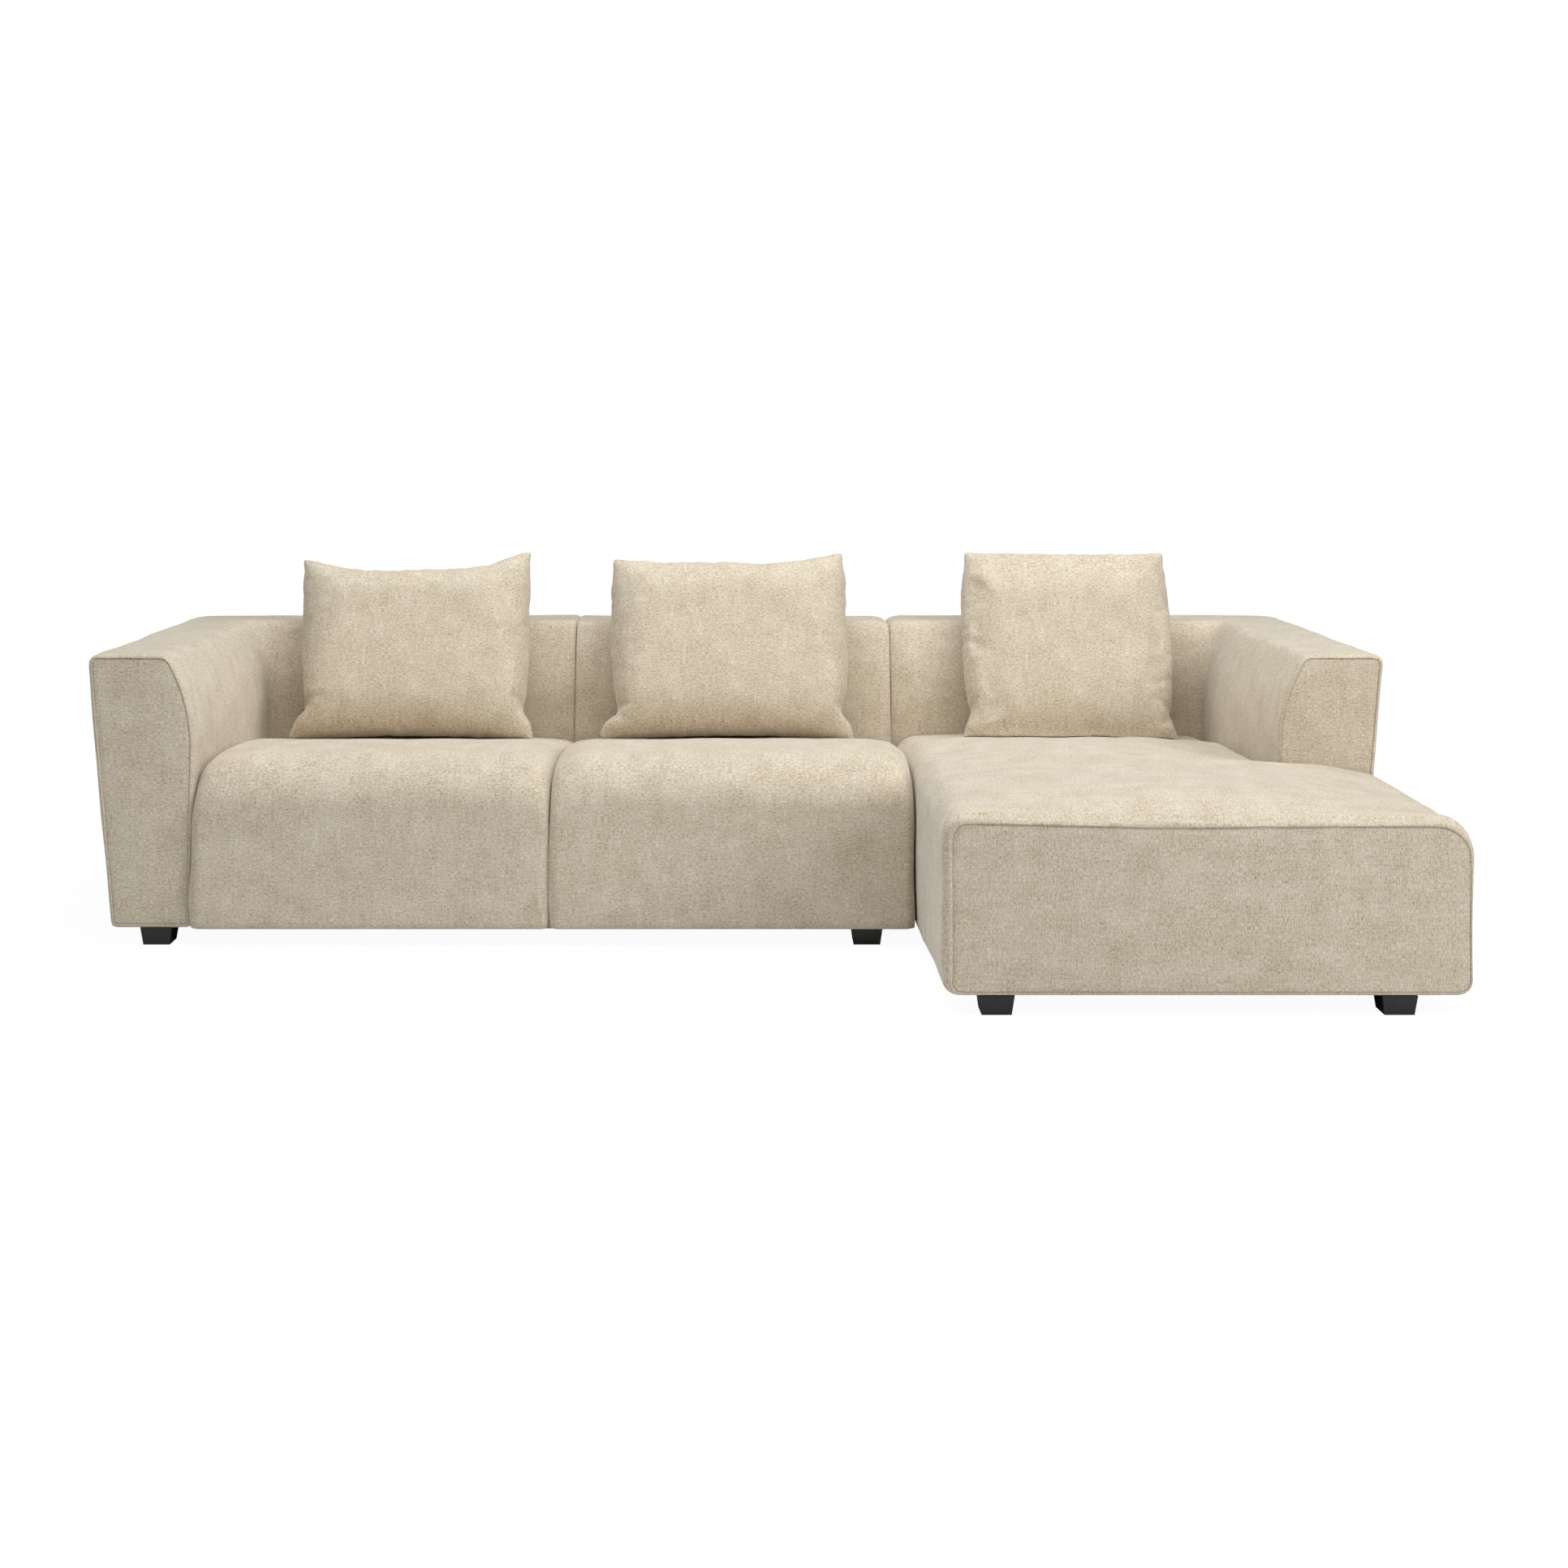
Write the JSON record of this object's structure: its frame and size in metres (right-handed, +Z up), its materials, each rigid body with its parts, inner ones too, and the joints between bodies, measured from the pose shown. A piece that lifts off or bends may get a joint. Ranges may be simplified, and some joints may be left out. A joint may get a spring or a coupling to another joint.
{
  "type": "sectional sofa with chaise",
  "caption": "Low sectional sofa with a long chaise on the viewer's right, upholstered in beige woven fabric, with loose leaning cushions and short black tapered feet.",
  "frame": {"origin": "floor level, under the middle of the whole sofa's plan box", "axes": "+X to the viewer's right along the back, +Y to the back, +Z up; the seats face -Y"},
  "size_m": [2.97, 1.628, 0.8387],
  "materials": {
    "upholstery_fabric": "beige melange linen-look weave",
    "cushion_fabric": "beige melange linen-look weave, soft filled",
    "fibre_fill": "fibre-filled inner case",
    "foam": "cut polyurethane foam",
    "dust_cloth": "black non-woven cloth",
    "felt": "grey needled felt",
    "webbing": "elastic webbing",
    "spring_steel": "drawn spring wire",
    "zinc_steel": "zinc-plated pressed steel",
    "hardboard": "hardboard",
    "timber": "planed softwood",
    "foot_black": "black, satin"
  },
  "bodies": {
    "sofa_section": {"arm_left_board": "hardboard", "arm_left_cover": "upholstery_fabric", "arm_left_frame": "timber", "back_left_cover": "upholstery_fabric", "back_middle_cover": "upholstery_fabric", "foot_sofa_front_left": "foot_black", "foot_sofa_front_middle": "foot_black", "foot_sofa_rear_left": "foot_black", "foot_sofa_rear_middle": "foot_black", "joint_sockets": "zinc_steel", "seat_left_cover": "upholstery_fabric", "seat_left_foam": "foam", "seat_middle_cover": "upholstery_fabric", "seat_middle_foam": "foam", "sofa_arm_side_rail": "timber", "sofa_back_posts": "timber", "sofa_back_rails": "timber", "sofa_back_webbing": "webbing", "sofa_centre_rail": "timber", "sofa_deck_felt": "felt", "sofa_dust_cover": "dust_cloth", "sofa_foot_block": "timber", "sofa_foot_studs": "zinc_steel", "sofa_front_rail": "timber", "sofa_joint_rail": "timber", "sofa_rear_rail": "timber", "sofa_seat_springs": "spring_steel", "sofa_spring_clips": "spring_steel"},
    "chaise_section": {"arm_right_board": "hardboard", "arm_right_cover": "upholstery_fabric", "arm_right_frame": "timber", "back_right_cover": "upholstery_fabric", "chaise_arm_side_rail": "timber", "chaise_back_posts": "timber", "chaise_back_rails": "timber", "chaise_back_webbing": "webbing", "chaise_cross_rail": "timber", "chaise_deck_felt": "felt", "chaise_dust_cover": "dust_cloth", "chaise_flank_rails": "timber", "chaise_foot_studs": "zinc_steel", "chaise_front_rail": "timber", "chaise_joint_rail": "timber", "chaise_rear_rail": "timber", "chaise_seat_cover": "upholstery_fabric", "chaise_seat_foam": "foam", "chaise_seat_springs": "spring_steel", "chaise_spring_clips": "spring_steel", "foot_chaise_front_left": "foot_black", "foot_chaise_front_right": "foot_black", "foot_chaise_rear_left": "foot_black", "foot_chaise_rear_right": "foot_black", "joint_hooks": "zinc_steel"},
    "cushion_left": {"cushion_left_cover": "cushion_fabric", "cushion_left_insert": "fibre_fill"},
    "cushion_middle": {"cushion_middle_cover": "cushion_fabric", "cushion_middle_insert": "fibre_fill"},
    "cushion_right": {"cushion_right_cover": "cushion_fabric", "cushion_right_insert": "fibre_fill"}
  },
  "joints": [
    {"name": "chaise_lift", "type": "slide", "parent": "sofa_section", "child": "chaise_section", "axis": [0, 0, 1], "range_m": [0, 0.06]},
    {"name": "cushion_left_lift", "type": "slide", "parent": "sofa_section", "child": "cushion_left", "axis": [0, 0, 1], "range_m": [0, 0.4]},
    {"name": "cushion_middle_lift", "type": "slide", "parent": "sofa_section", "child": "cushion_middle", "axis": [0, 0, 1], "range_m": [0, 0.4]},
    {"name": "cushion_right_lift", "type": "slide", "parent": "chaise_section", "child": "cushion_right", "axis": [0, 0, 1], "range_m": [0, 0.4]}
  ]
}
